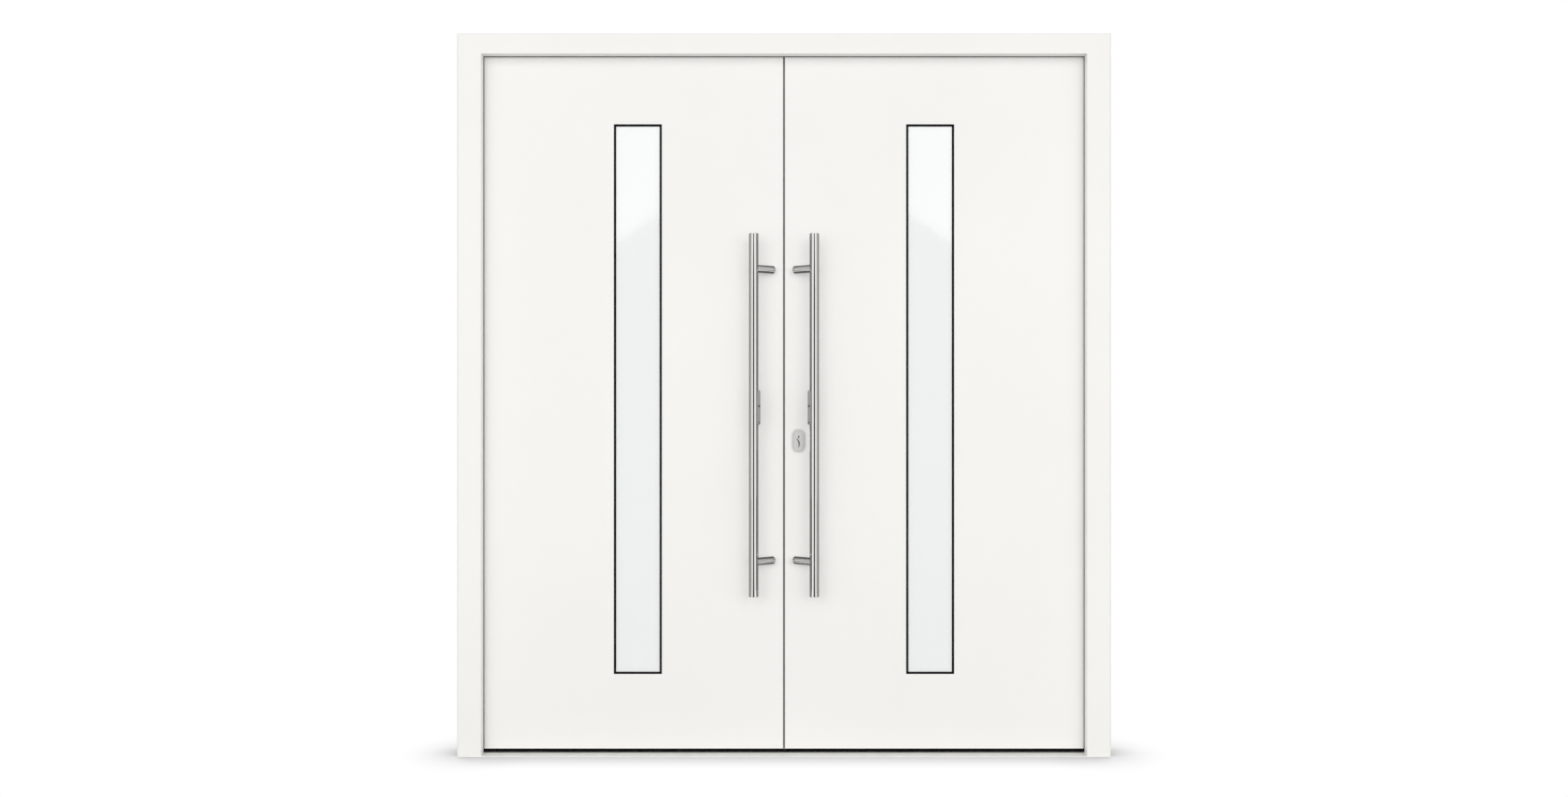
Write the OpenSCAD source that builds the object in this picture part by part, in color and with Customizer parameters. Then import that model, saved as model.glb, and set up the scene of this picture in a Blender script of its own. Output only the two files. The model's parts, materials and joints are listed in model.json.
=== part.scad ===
// Double front door in its frame: two flush insulated leaves that open inwards, each with a narrow
// glass strip and a long pull bar. Seen from outside, looking along +Y, the right leaf carries the lock.
// Origin: middle of the sill's underside. +Z is up and -Y is outside. All sizes are in millimetres.

/* [Frame] */
// Overall width of the frame
frame_w = 1990; // [1800:10:2300]
// Overall height of the frame
frame_h = 2200; // [2100:10:2500]
// Face width of each jamb
jamb_face = 74; // [66:1:100]
// Face height of the head
head_face = 62; // [50:1:90]
// Wall of the hollow frame sections
frame_wall = 3; // [2:0.5:4]
// Radius of the head's outer edge
frame_edge_r = 6; // [2:0.5:8]
// Radius of the jambs' outer edges
jamb_edge_r = 8; // [2:0.5:8]
// Distance from the frame's ends to the wall anchors
anchor_in = 300; // [200:10:600]
// Diameter of the wall anchor holes
anchor_d = 10.5; // [8:0.5:12]
// Diameter of the screwdriver holes in the rebate
access_d = 14; // [13:0.5:18]

/* [Sill] */
// Height of the sill
sill_h = 5; // [4:0.5:12]
// Height of the sill's front nose
sill_nose_h = 3; // [2:0.5:4]
// Depth of the plastic thermal break
sill_break_w = 12; // [8:1:16]
// Depth of the grip grooves in the inner sill
sill_groove = 1; // [0.5:0.5:2]

/* [Gaps and fits] */
// How far the leaf sits behind the frame's face
leaf_setback = 40; // [30:1:55]
// How far the frame covers the edges of the leaves
frame_lap = 12; // [11:1:16]
// Gap between a leaf's edge and the rebate
edge_gap = 5; // [4:0.5:7]
// Gap between the two leaves
meeting_gap = 4.5; // [4.5:0.5:8]
// Gap between the sill and the leaves
floor_gap = 10; // [8:0.5:16]
// Space for the gasket between the frame and the leaves
seal_space = 5; // [4:0.5:8]
// Clearance between a seal and the surface it closes on
seal_clear = 0.3; // [0.2:0.1:0.6]
// Clearance round a sliding piece
slide_clear = 0.3; // [0.2:0.1:0.5]
// Clearance round a fixed piece in its cut-out
fit_clear = 0.2; // [0.1:0.1:0.4]
// Radial clearance of a turning pin or plug
pin_clear = 0.05; // [0.02:0.01:0.1]
// Room round a bolt in its keeper
keeper_clear = 1; // [0.5:0.1:2]

/* [Leaf] */
// Thickness of a leaf
leaf_t = 70; // [62:1:90]
// Thickness of each skin
leaf_skin = 3; // [2:0.5:4]
// Wall of the hollow stiles and rails
leaf_wall = 3; // [2:0.5:4]
// Width of the hinge stile
hinge_stile_w = 60; // [50:1:90]
// Width of the lock stile
lock_stile_w = 80; // [76:1:110]
// Height of the top rail
top_rail_h = 60; // [50:1:120]
// Height of the bottom rail
bottom_rail_h = 90; // [60:1:160]
// Solid end of a lock stile
stile_end = 6; // [4:1:12]

/* [Glass strip] */
// Width of the opening for the glass
window_w = 147; // [120:1:260]
// Distance from the leaf's lower edge to the opening
window_low_in = 229; // [180:1:400]
// Distance from the leaf's upper edge to the opening
window_top_in = 219; // [180:1:600]
// Distance from the middle of the door to the middle of the opening
window_x = 448.5; // [380:0.5:560]
// Visible width of the black gasket
gasket_w = 6.5; // [5:0.5:12]
// Wall of the gasket round the edge of the glass
gasket_wall = 3; // [2:0.5:4]
// Thickness of the outer laminated pane
outer_pane_t = 8; // [6:1:12]
// Width of the cavity between the panes
cavity = 24; // [16:1:28]
// Width of the spacer bar between the panes
spacer_w = 8; // [6:1:12]
// Thickness of the inner pane
inner_pane_t = 6; // [4:1:8]
// Width of the glazing bead
bead_w = 14; // [10:1:24]
// Bevel on the bead's visible edge
bead_bevel = 6; // [2:1:8]

/* [Pull bars] */
// Diameter of a bar
bar_d = 28; // [25:1:40]
// Length of a bar
bar_len = 1100; // [600:1:1600]
// Height of a bar's lower end
bar_z = 489; // [300:1:700]
// Distance from the middle of the door to a bar
bar_x = 92; // [80:1:130]
// Distance from the leaf to a bar's axis
bar_off = 56; // [50:1:65]
// Bevel on a bar's ends
bar_bevel = 1; // [0.5:0.5:3]
// Diameter of the slanted posts
post_d = 23; // [18:1:28]
// Distance from a bar's end to its post
post_in = 106; // [60:1:250]
// Slant of the posts towards the meeting edge
post_slant = 54; // [50:1:60]
// Diameter of the foot under a post's end
foot_d = 14; // [10:1:14]
// Gap between a post's end and the leaf
foot_gap = 4; // [2:0.5:6]
// Height of the side module's lower end
module_z = 1009; // [800:1:1200]
// Length of the side module
module_h = 106; // [80:1:160]
// Width of the side module
module_w = 16; // [12:1:22]
// How far the side module stands out from the bar
module_out = 6.5; // [4:0.5:12]
// Diameter of the sensor dot on the module
module_dot = 6; // [2:0.5:6]
// Radius of the module's outer corners
module_r = 6; // [2:0.5:6]

/* [Lock] */
// Distance from the leaf's edge to the lock's axis
backset = 42.5; // [40:0.5:48]
// Height of the cylinder's plug
plug_z = 972; // [900:1:1000]
// Height from the plug to the lever
lever_rise = 92; // [84:1:100]
// Diameter of the cylinder plug
plug_d = 13; // [11:0.5:14]
// Diameter of the cylinder's round part
cylinder_d = 17; // [16:0.5:18]
// Width of the cylinder's web
cylinder_web = 10; // [9:0.5:11]
// Distance from the plug's axis to the bottom of the web
cylinder_drop = 24.5; // [22:0.5:28]
// Reach of the cam on the plug
cam_reach = 14; // [12:0.5:15]
// Length of the cam along the plug
cam_w = 9; // [6:0.5:9]
// Thickness of the cam
cam_t = 8; // [6:0.5:9]
// Width of the escutcheon
rosette_w = 37; // [32:1:44]
// Height of the escutcheon
rosette_h = 69; // [64:1:80]
// Thickness of the escutcheon
rosette_t = 8; // [6:0.5:12]
// Thickness of the escutcheon over the cylinder
cover_t = 3; // [2.5:0.5:4]
// Diameter of the collar round the plug
collar_d = 22; // [18:1:26]
// Height of the collar
collar_t = 1; // [0.5:0.5:2]
// Length of the escutcheon's curved finger groove
groove_len = 31; // [24:1:34]
// Bow of the finger groove
groove_bow = 8.5; // [6:0.5:10]
// Greatest width of the finger groove
groove_w = 3.5; // [2:0.5:4]
// Depth of the finger groove
groove_t = 1.5; // [1:0.5:2]
// Thickness of the lock cases
case_t = 16; // [15:0.5:18]
// Height of the main lock case
case_h = 210; // [205:1:240]
// Thickness of the faceplate and the strike strip
plate_t = 3; // [2:0.5:4]
// Width of the faceplate and the strike strip
plate_w = 20; // [18:1:24]
// Distance from the leaf's ends to the faceplate and the strike strip
plate_in = 200; // [190:1:240]
// Thickness of the latch and the bolts
bolt_t = 11; // [8:0.5:12]
// Height of the latch
latch_h = 30; // [24:1:32]
// How far the latch stands out of the leaf
latch_out = 14; // [12:0.5:16]
// Height of each dead bolt
bolt_h = 35; // [28:1:36]
// Travel of the dead bolts
bolt_throw = 20; // [18:0.5:22]
// Length of bolt that stays in its case when thrown
bolt_tail = 11; // [8:0.5:12]
// Drop from the lever's axis to the middle bolt
mid_bolt_drop = 54; // [48:1:58]
// Distance from the leaf's ends to the outer bolts
end_bolt_in = 305; // [300:1:450]

/* [Inside furniture] */
// Length of the lever from its spindle
lever_len = 125; // [90:1:150]
// Diameter of the lever
lever_d = 19; // [16:1:22]
// Distance from the leaf to the lever's axis
lever_off = 50; // [44:1:62]
// Width of the square spindle
spindle = 8; // [7:0.5:9]
// Diameter of the inside roses
rose_d = 52; // [50:1:58]
// Thickness of the inside roses
rose_t = 8; // [6:0.5:10]
// Width of the thumb-turn
turn_w = 26; // [20:1:32]
// Length of the thumb-turn
turn_len = 20; // [14:1:26]

/* [Flush bolts] */
// Diameter of the flush bolts
flush_d = 10; // [8:0.5:12]
// Length of the flush bolts
flush_len = 260; // [220:5:280]
// Distance from the middle of the door to the flush bolts
flush_x = 25; // [22:1:40]
// Distance from the leaf's end to the thumb slide
thumb_in = 140; // [100:5:180]
// Travel of the flush bolts
flush_throw = 14; // [12:0.5:14]

/* [Hinges] */
// Height of a hinge
hinge_h = 120; // [90:3:160]
// Diameter of the hinge knuckles
knuckle_d = 22; // [20:1:28]
// Diameter of the hinge pins
pin_d = 12; // [10:1:14]
// Thickness of the hinge plates
hinge_plate_t = 4; // [3:0.5:5]
// Width of each hinge plate
hinge_plate_w = 50; // [40:1:54]
// Gap between a knuckle and the leaf
knuckle_off = 2; // [1:0.5:3]
// Distance from the frame's ends to the outer hinges
hinge_in = 250; // [180:10:500]

/* [Hidden] */
$fn = 48;

// Frame, from the outside face inwards
frame_depth = leaf_setback + leaf_t;
half_w = frame_w / 2;
front_y = -frame_depth / 2;
back_y = frame_depth / 2;
leaf_front = front_y + leaf_setback;
leaf_back = leaf_front + leaf_t;
flange_back = leaf_front - seal_space;
open_x = half_w - jamb_face;
open_z = frame_h - head_face;
leaf_edge = open_x + frame_lap;
leaf_top = open_z + frame_lap;
rebate_x = leaf_edge + edge_gap;
rebate_z = leaf_top + edge_gap;
leaf_bottom = sill_h + floor_gap;
leaf_meet = meeting_gap / 2;
anchor_y = (flange_back + back_y) / 2;
anchor_zs = [anchor_in, frame_h - anchor_in];
cut = 1;

// Leaf layers
core_front = leaf_front + leaf_skin;
core_back = leaf_back - leaf_skin;
core_x0 = leaf_meet + lock_stile_w;
core_x1 = leaf_edge - hinge_stile_w;
core_z0 = leaf_bottom + bottom_rail_h;
core_z1 = leaf_top - top_rail_h;

// Glazing, from the outer skin inwards
window_z = leaf_bottom + window_low_in;
window_h = leaf_top - window_top_in - window_z;
pane_y = leaf_front + gasket_wall;
cavity_y = pane_y + outer_pane_t;
inner_pane_y = cavity_y + cavity;
bead_y = inner_pane_y + inner_pane_t;

// Pull bars
bar_y = leaf_front - bar_off;
module_x = bar_x - bar_d / 2 - module_out;

// Lock, on the plane through the middle of the leaf
lock_x = leaf_meet + backset;
lock_y = (leaf_front + leaf_back) / 2;
lever_z = plug_z + lever_rise;
mid_bolt_z = lever_z - mid_bolt_drop;
end_bolt_zs = [leaf_bottom + end_bolt_in, leaf_top - end_bolt_in];
bolt_zs = [end_bolt_zs[0], mid_bolt_z, end_bolt_zs[1]];
case_foot = 40;
case_z0 = plug_z - cylinder_drop - case_foot;
case_x0 = leaf_meet + plate_t;
case_x1 = leaf_meet + lock_stile_w - leaf_wall - fit_clear;
side_case_depth = 44;
side_case_x1 = case_x0 + side_case_depth;
side_case_h = 120;
set_in = 0.5;
bolt_len = bolt_throw + bolt_tail;
bolt_rest = leaf_meet + set_in;
latch_travel = latch_out + set_in;
follower_room = 2;
latch_tail = lock_x - spindle - latch_travel - follower_room;
channel_x1 = max(bolt_rest + bolt_len, latch_tail + latch_travel) + slide_clear;
rosette_face = leaf_front - rosette_t;
plug_front = rosette_face - collar_t + set_in;
cylinder_front = rosette_face + cover_t + set_in;
rose_back = leaf_back + rose_t;
stile_x1 = leaf_meet + lock_stile_w;

// Distance of the meeting seal from the strike strip
seal_from_plate = 10;

// Edge strips by the leaves' outer faces: thickness, width and distance from the face
strip_t = 1;
strip_w = 12;
strip_in = 5;

// Flush bolts: their keepers, and the width and height of a thumb slide
keeper_rim = 6;
keeper_r = flush_d / 2 + keeper_rim;
keeper_t = 2;
thumb = [8, 24];

// Hinges
hinge_x = (leaf_edge + rebate_x) / 2;
hinge_y = leaf_back + knuckle_off + knuckle_d / 2;
hinge_zs = [hinge_in, frame_h / 2, frame_h - hinge_in];
knuckle_gap = 0.5;
knuckle_h = hinge_h / 3;
knuckle_room = knuckle_d / 2 + knuckle_off;

white = "#f5f4f1";
steel = "#b9b9b6";
black = "#1a1a1a";
grey = "#9a9a98";

// Building blocks

// Box between two corners, given as a range along each axis
module block(x, y, z) {
    translate([x[0], y[0], z[0]])
        cube([x[1] - x[0], y[1] - y[0], z[1] - z[0]]);
}

// Section in Y and Z, run along X
module along_x(x) {
    translate([x[0], 0, 0])
        rotate([90, 0, 90])
            linear_extrude(x[1] - x[0])
                children();
}

// Outline in X and Z, run along Y
module along_y(y) {
    translate([0, y[1], 0])
        rotate([90, 0, 0])
            linear_extrude(y[1] - y[0])
                children();
}

// Flat rectangle between two corners
module panel(x, y) {
    translate([x[0], y[0]])
        square([x[1] - x[0], y[1] - y[0]]);
}

// Round rod along Y through a point in X and Z
module rod_y(x, z, r, y) {
    translate([x, y[0], z])
        rotate([-90, 0, 0])
            cylinder(r = r, h = y[1] - y[0]);
}

// Round rod along X through a point in Y and Z
module rod_x(y, z, r, x) {
    translate([x[0], y, z])
        rotate([0, 90, 0])
            cylinder(r = r, h = x[1] - x[0]);
}

// Upright shape with round ends, centred on a point
module oblong(w, h) {
    square([w, h - w], center = true);
    for (s = [-1, 1])
        translate([0, s * (h - w) / 2])
            circle(d = w);
}

// What a rounded edge takes off a square corner that points at the origin
module corner_sliver(r) {
    difference() {
        translate([-cut, -cut])
            square(r + cut);
        translate([r, r])
            circle(r);
    }
}

// A leaf is drawn on the right, and its twin is the mirror image
module on_side(side) {
    mirror([side < 0 ? 1 : 0, 0, 0])
        children();
}

// Frame

module head_edge_cut() {
    along_x([-half_w - cut, half_w + cut])
        translate([front_y, frame_h])
            mirror([0, 1])
                corner_sliver(frame_edge_r);
}

module jamb(side) {
    chamber_top = frame_h - frame_wall - frame_edge_r / 2;
    on_side(side)
        difference() {
            linear_extrude(frame_h)
                difference() {
                    union() {
                        panel([open_x, half_w], [front_y, flange_back]);
                        panel([rebate_x, half_w], [flange_back, back_y]);
                    }
                    translate([half_w, front_y])
                        mirror([1, 0])
                            corner_sliver(jamb_edge_r);
                }
            block([open_x + frame_wall, half_w - frame_wall],
                [front_y + frame_wall, flange_back - frame_wall], [-cut, chamber_top]);
            block([rebate_x + frame_wall, half_w - frame_wall],
                [flange_back, back_y - frame_wall], [-cut, chamber_top]);
            head_edge_cut();
            for (z = anchor_zs) {
                rod_x(anchor_y, z, anchor_d / 2, [half_w - frame_wall - cut, half_w + cut]);
                rod_x(anchor_y, z, access_d / 2, [rebate_x - cut, rebate_x + frame_wall + cut]);
            }
        }
}

module jamb_left() {
    color(white) jamb(-1);
}

module jamb_right() {
    color(white) jamb(1);
}

module head() {
    color(white)
        difference() {
            union() {
                block([-open_x, open_x], [front_y, flange_back], [open_z, frame_h]);
                block([-rebate_x, rebate_x], [flange_back, back_y], [rebate_z, frame_h]);
            }
            block([-open_x - cut, open_x + cut], [front_y + frame_wall, flange_back - frame_wall],
                [open_z + frame_wall, frame_h - frame_wall]);
            block([-rebate_x - cut, rebate_x + cut], [flange_back, back_y - frame_wall],
                [rebate_z + frame_wall, frame_h - frame_wall]);
            head_edge_cut();
            translate([-flush_x, lock_y, rebate_z - cut])
                cylinder(d = flush_d + 2 * keeper_clear, h = frame_wall + 2 * cut);
        }
}

// Blocks in the head's chambers that are screwed to the jambs
module corner_connectors() {
    grip = 60;
    screw_r = 2.6;
    y = [flange_back + fit_clear, back_y - frame_wall - fit_clear];
    z = [rebate_z + frame_wall + fit_clear, frame_h - frame_wall - fit_clear];
    color(grey)
        for (side = [-1, 1])
            on_side(side)
                difference() {
                    block([rebate_x - grip, rebate_x], y, z);
                    for (s = [0.25, 0.75])
                        rod_x(y[0] + s * (y[1] - y[0]), (z[0] + z[1]) / 2, screw_r,
                            [rebate_x - grip - cut, rebate_x + cut]);
                }
}

module sill_outer() {
    color(grey)
        along_x([-open_x, open_x])
            polygon([[front_y, 0], [flange_back, 0], [flange_back, sill_h],
                [front_y + sill_nose_h, sill_nose_h], [front_y, sill_nose_h / 2]]);
}

module sill_break() {
    color(black)
        along_x([-rebate_x, rebate_x])
            panel([flange_back, flange_back + sill_break_w], [0, sill_h]);
}

module sill_keeper_recess(grow, z) {
    translate([-flush_x, lock_y, z])
        cylinder(r = keeper_r + grow, h = sill_h);
}

module sill_inner() {
    groove_pitch = 8;
    grooves = 3;
    color(grey)
        difference() {
            along_x([-rebate_x, rebate_x])
                difference() {
                    panel([flange_back + sill_break_w, back_y], [0, sill_h]);
                    for (i = [1:grooves])
                        translate([back_y - i * groove_pitch, sill_h])
                            circle(sill_groove);
                }
            sill_keeper_recess(fit_clear, sill_h - keeper_t);
            translate([-flush_x, lock_y, -cut])
                cylinder(d = flush_d + 2 * keeper_clear, h = sill_h + 2 * cut);
        }
}

// Black seal round the rebate: a base strip that shows past the reveal, and a bulb that meets the leaves
module frame_gasket() {
    lip_out = 1.5;
    base_w = 8;
    base_t = seal_space / 2;
    bulb_w = 5;
    inset = 1;
    color(black)
        for (strip = [[-lip_out, lip_out + inset + base_w, flange_back, flange_back + base_t],
                      [inset + (base_w - bulb_w) / 2, bulb_w, flange_back, leaf_front - seal_clear]])
            along_y([strip[2], strip[3]])
                difference() {
                    panel([-open_x - strip[0] - strip[1], open_x + strip[0] + strip[1]],
                        [sill_h, open_z + strip[0] + strip[1]]);
                    panel([-open_x - strip[0], open_x + strip[0]], [0, open_z + strip[0]]);
                }
}

// Plugs over the screwdriver holes in the rebate
module anchor_caps() {
    cap_t = 1.5;
    cap_lip = 2.5;
    color(white)
        for (side = [-1, 1], z = anchor_zs)
            on_side(side) {
                rod_x(anchor_y, z, access_d / 2 + cap_lip, [rebate_x - cap_t, rebate_x]);
                rod_x(anchor_y, z, access_d / 2 - fit_clear, [rebate_x - cap_t, rebate_x + frame_wall]);
            }
}

// Catches for the flush bolts: a plate under the head and a ring let into the sill
module bolt_keepers() {
    bolt_hole = flush_d + 2 * keeper_clear;
    color(steel) {
        translate([-flush_x, lock_y, rebate_z - keeper_t])
            difference() {
                cylinder(r = keeper_r, h = keeper_t);
                translate([0, 0, -cut])
                    cylinder(d = bolt_hole, h = keeper_t + 2 * cut);
            }
        translate([-flush_x, lock_y, sill_h - keeper_t])
            difference() {
                cylinder(r = keeper_r, h = keeper_t);
                translate([0, 0, -cut])
                    cylinder(d = bolt_hole, h = keeper_t + 2 * cut);
            }
    }
}

// Hinges

// Knuckle with its bore, as a share of the hinge's height from its lower end
module knuckle(z, from, to) {
    translate([hinge_x, hinge_y, z - hinge_h / 2 + from])
        cylinder(d = knuckle_d, h = to - from);
}

module hinge_bore(z) {
    translate([hinge_x, hinge_y, z - hinge_h / 2 - cut])
        cylinder(r = pin_d / 2 + pin_clear, h = hinge_h + 2 * cut);
}

// Plate on the frame with the lower and upper knuckles
module hinge_frame_plates() {
    arm = [back_y, hinge_y];
    color(white)
        for (side = [-1, 1], z = hinge_zs)
            on_side(side)
                difference() {
                    union() {
                        knuckle(z, 0, knuckle_h);
                        knuckle(z, hinge_h - knuckle_h, hinge_h);
                        block([rebate_x + knuckle_gap, rebate_x + hinge_plate_w],
                            [back_y, back_y + hinge_plate_t], [z - hinge_h / 2, z + hinge_h / 2]);
                        block([rebate_x + knuckle_gap, hinge_x + knuckle_d / 2], arm,
                            [z - hinge_h / 2, z - hinge_h / 2 + knuckle_h]);
                        block([rebate_x + knuckle_gap, hinge_x + knuckle_d / 2], arm,
                            [z + hinge_h / 2 - knuckle_h, z + hinge_h / 2]);
                    }
                    block([hinge_x - knuckle_room, hinge_x + knuckle_room],
                        [back_y - cut, hinge_y + knuckle_d],
                        [z - hinge_h / 2 + knuckle_h, z + hinge_h / 2 - knuckle_h]);
                    hinge_bore(z);
                }
}

// Plate on the leaf with the middle knuckle
module leaf_hinge_plates(side) {
    middle = [knuckle_h + knuckle_gap, hinge_h - knuckle_h - knuckle_gap];
    color(white)
        for (z = hinge_zs)
            on_side(side)
                difference() {
                    union() {
                        block([leaf_edge - hinge_plate_w, hinge_x - knuckle_room],
                            [leaf_back, leaf_back + hinge_plate_t], [z - hinge_h / 2, z + hinge_h / 2]);
                        block([hinge_x - knuckle_room - cut, leaf_edge - knuckle_gap],
                            [leaf_back, leaf_back + hinge_plate_t],
                            [z - hinge_h / 2 + middle[0], z - hinge_h / 2 + middle[1]]);
                        block([hinge_x - knuckle_d / 2, leaf_edge - knuckle_gap], [leaf_back, hinge_y],
                            [z - hinge_h / 2 + middle[0], z - hinge_h / 2 + middle[1]]);
                        knuckle(z, middle[0], middle[1]);
                    }
                    hinge_bore(z);
                }
}

module hinge_plates_left() {
    leaf_hinge_plates(-1);
}

module hinge_plates_right() {
    leaf_hinge_plates(1);
}

// Pins that drop in from above and rest on their heads
module hinge_pins() {
    head_lip = 2.5;
    head_t = 4;
    color(steel)
        for (side = [-1, 1], z = hinge_zs)
            on_side(side)
                translate([hinge_x, hinge_y, z - hinge_h / 2]) {
                    cylinder(r = pin_d / 2, h = hinge_h + cut);
                    translate([0, 0, hinge_h])
                        cylinder(r = pin_d / 2 + head_lip, h = head_t);
                }
}

// Cut-outs that the lock needs in the leaf

// Profile of the lock cylinder: a round barrel over a narrow web
module cylinder_outline(grow) {
    translate([lock_x, plug_z]) {
        circle(d = cylinder_d + 2 * grow);
        translate([-cylinder_web / 2 - grow, -cylinder_drop - grow])
            square([cylinder_web + 2 * grow, cylinder_drop]);
    }
}

module cylinder_cut(y) {
    along_y(y)
        cylinder_outline(fit_clear);
}

module spindle_cut(y) {
    rod_y(lock_x, lever_z, spindle * sqrt(2) / 2 + slide_clear, y);
}

// Room for the latch and the bolts, grown by a clearance
module bolt_cuts(x, grow) {
    y = [lock_y - bolt_t / 2 - grow, lock_y + bolt_t / 2 + grow];
    block(x, y, [lever_z - latch_h / 2 - grow, lever_z + latch_h / 2 + grow]);
    for (z = bolt_zs)
        block(x, y, [z - bolt_h / 2 - grow, z + bolt_h / 2 + grow]);
}

// Leaves

module window_hole(y, shrink = 0) {
    block([window_x - window_w / 2 + shrink, window_x + window_w / 2 - shrink], y,
        [window_z + shrink, window_z + window_h - shrink]);
}

module skin(side, y) {
    on_side(side)
        difference() {
            block([leaf_meet, leaf_edge], y, [leaf_bottom, leaf_top]);
            window_hole([y[0] - cut, y[1] + cut]);
            if (side > 0)
                cylinder_cut([y[0] - cut, y[1] + cut]);
            if (side > 0 && y[1] == leaf_back)
                spindle_cut([y[0] - cut, y[1] + cut]);
        }
}

module outer_skin_left() {
    color(white) skin(-1, [leaf_front, core_front]);
}

module outer_skin_right() {
    color(white) skin(1, [leaf_front, core_front]);
}

module inner_skin_left() {
    color(white) skin(-1, [core_back, leaf_back]);
}

module inner_skin_right() {
    color(white) skin(1, [core_back, leaf_back]);
}

module core(side) {
    on_side(side)
        difference() {
            block([core_x0, core_x1], [core_front, core_back], [core_z0, core_z1]);
            window_hole([core_front - cut, core_back + cut]);
        }
}

module core_left() {
    color("#e7dfc4") core(-1);
}

module core_right() {
    color("#e7dfc4") core(1);
}

module hinge_stile(side) {
    on_side(side)
        difference() {
            block([core_x1, leaf_edge], [core_front, core_back], [leaf_bottom, leaf_top]);
            block([core_x1 + leaf_wall, leaf_edge - leaf_wall],
                [core_front + leaf_wall, core_back - leaf_wall],
                [leaf_bottom + stile_end, leaf_top - stile_end]);
        }
}

module hinge_stile_left() {
    color(white) hinge_stile(-1);
}

module hinge_stile_right() {
    color(white) hinge_stile(1);
}

// Hollow stile with a groove for the faceplate down its meeting edge
module lock_stile() {
    groove = [lock_y - plate_w / 2 - fit_clear, lock_y + plate_w / 2 + fit_clear];
    difference() {
        block([leaf_meet, stile_x1], [core_front, core_back], [leaf_bottom, leaf_top]);
        block([leaf_meet - cut, leaf_meet + plate_t], groove, [leaf_bottom - cut, leaf_top + cut]);
        block([case_x0 + leaf_wall, stile_x1 - leaf_wall],
            [core_front + leaf_wall, core_back - leaf_wall],
            [leaf_bottom + stile_end, leaf_top - stile_end]);
    }
}

module lock_stile_right() {
    edge = [case_x0 - cut, case_x0 + leaf_wall + cut];
    y = [lock_y - case_t / 2 - fit_clear, lock_y + case_t / 2 + fit_clear];
    color(white)
        difference() {
            lock_stile();
            block(edge, y, [case_z0 - fit_clear, case_z0 + case_h + fit_clear]);
            for (z = end_bolt_zs)
                block(edge, y, [z - side_case_h / 2 - fit_clear, z + side_case_h / 2 + fit_clear]);
            cylinder_cut([core_front - cut, core_back + cut]);
            spindle_cut([lock_y, core_back + cut]);
        }
}

module lock_stile_left() {
    color(white)
        on_side(-1)
            difference() {
                lock_stile();
                bolt_cuts([case_x0 - cut, case_x0 + leaf_wall + cut], keeper_clear);
                for (end = [leaf_bottom, leaf_top])
                    translate([flush_x, lock_y, end - stile_end - cut])
                        cylinder(r = flush_d / 2 + slide_clear, h = 2 * (stile_end + cut));
                thumb_cut(leaf_top - thumb_in, 0, flush_throw);
                thumb_cut(leaf_bottom + thumb_in, flush_throw, 0);
            }
}

module rails(side) {
    x = [core_x0, core_x1];
    y = [core_front, core_back];
    on_side(side)
        for (z = [[leaf_bottom, core_z0], [core_z1, leaf_top]])
            difference() {
                block(x, y, z);
                block([x[0] - cut, x[1] + cut], [y[0] + leaf_wall, y[1] - leaf_wall],
                    [z[0] + leaf_wall, z[1] - leaf_wall]);
            }
}

module rails_left() {
    color(white) rails(-1);
}

module rails_right() {
    color(white) rails(1);
}

// Strip of bristles in a carrier under the leaf
module bottom_brush(side) {
    carrier = [10, 3.5];
    bristles_w = 5;
    y = core_front + carrier[0] / 2;
    color(black)
        on_side(side) {
            block([leaf_meet, leaf_edge], [y - carrier[0] / 2, y + carrier[0] / 2],
                [leaf_bottom - carrier[1], leaf_bottom]);
            block([leaf_meet, leaf_edge], [y - bristles_w / 2, y + bristles_w / 2],
                [sill_h + seal_clear, leaf_bottom]);
        }
}

module bottom_brush_left() {
    bottom_brush(-1);
}

module bottom_brush_right() {
    bottom_brush(1);
}

// Glass strips

// Black gasket: a flush lip over the glass and a wall round its edge
module glazing_gasket(side) {
    color(black)
        on_side(side)
            difference() {
                window_hole([leaf_front, bead_y]);
                window_hole([leaf_front - cut, bead_y + cut], gasket_w);
                window_hole([pane_y, bead_y + cut], gasket_wall);
            }
}

module glazing_gasket_left() {
    glazing_gasket(-1);
}

module glazing_gasket_right() {
    glazing_gasket(1);
}

module pane(side, y) {
    color("#eef0ef")
        on_side(side)
            window_hole(y, gasket_wall);
}

module outer_pane_left() {
    pane(-1, [pane_y, cavity_y]);
}

module outer_pane_right() {
    pane(1, [pane_y, cavity_y]);
}

module inner_pane_left() {
    pane(-1, [inner_pane_y, bead_y]);
}

module inner_pane_right() {
    pane(1, [inner_pane_y, bead_y]);
}

// Hollow bar that keeps the panes apart
module spacer(side) {
    color(grey)
        on_side(side)
            difference() {
                window_hole([cavity_y, inner_pane_y], gasket_wall);
                window_hole([cavity_y - cut, inner_pane_y + cut], gasket_wall + spacer_w);
            }
}

module spacer_left() {
    spacer(-1);
}

module spacer_right() {
    spacer(1);
}

// Mitred bead that holds the glass from inside, bevelled towards the glass
module bead_side(length) {
    rotate([90, 0, 90])
        linear_extrude(length, center = true)
            polygon([[bead_y, 0], [leaf_back, 0], [leaf_back, bead_w - bead_bevel],
                [leaf_back - bead_bevel, bead_w], [bead_y, bead_w]]);
}

// Room for one side of the bead, with a hairline left open at its mitres
module bead_wedge(half) {
    side = half - fit_clear;
    along_y([bead_y - cut, leaf_back + cut])
        polygon([[-side - cut, -cut], [side + cut, -cut], [0, side]]);
}

module glazing_bead(side) {
    mid_z = window_z + window_h / 2;
    color(white)
        on_side(side)
            translate([window_x, 0, mid_z])
                for (turn = [0, 90, 180, 270]) {
                    long = turn % 180 == 0 ? window_w : window_h;
                    across = turn % 180 == 0 ? window_h : window_w;
                    rotate([0, turn, 0])
                        translate([0, 0, -across / 2])
                            intersection() {
                                bead_side(long);
                                bead_wedge(long / 2);
                            }
                }
}

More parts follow.
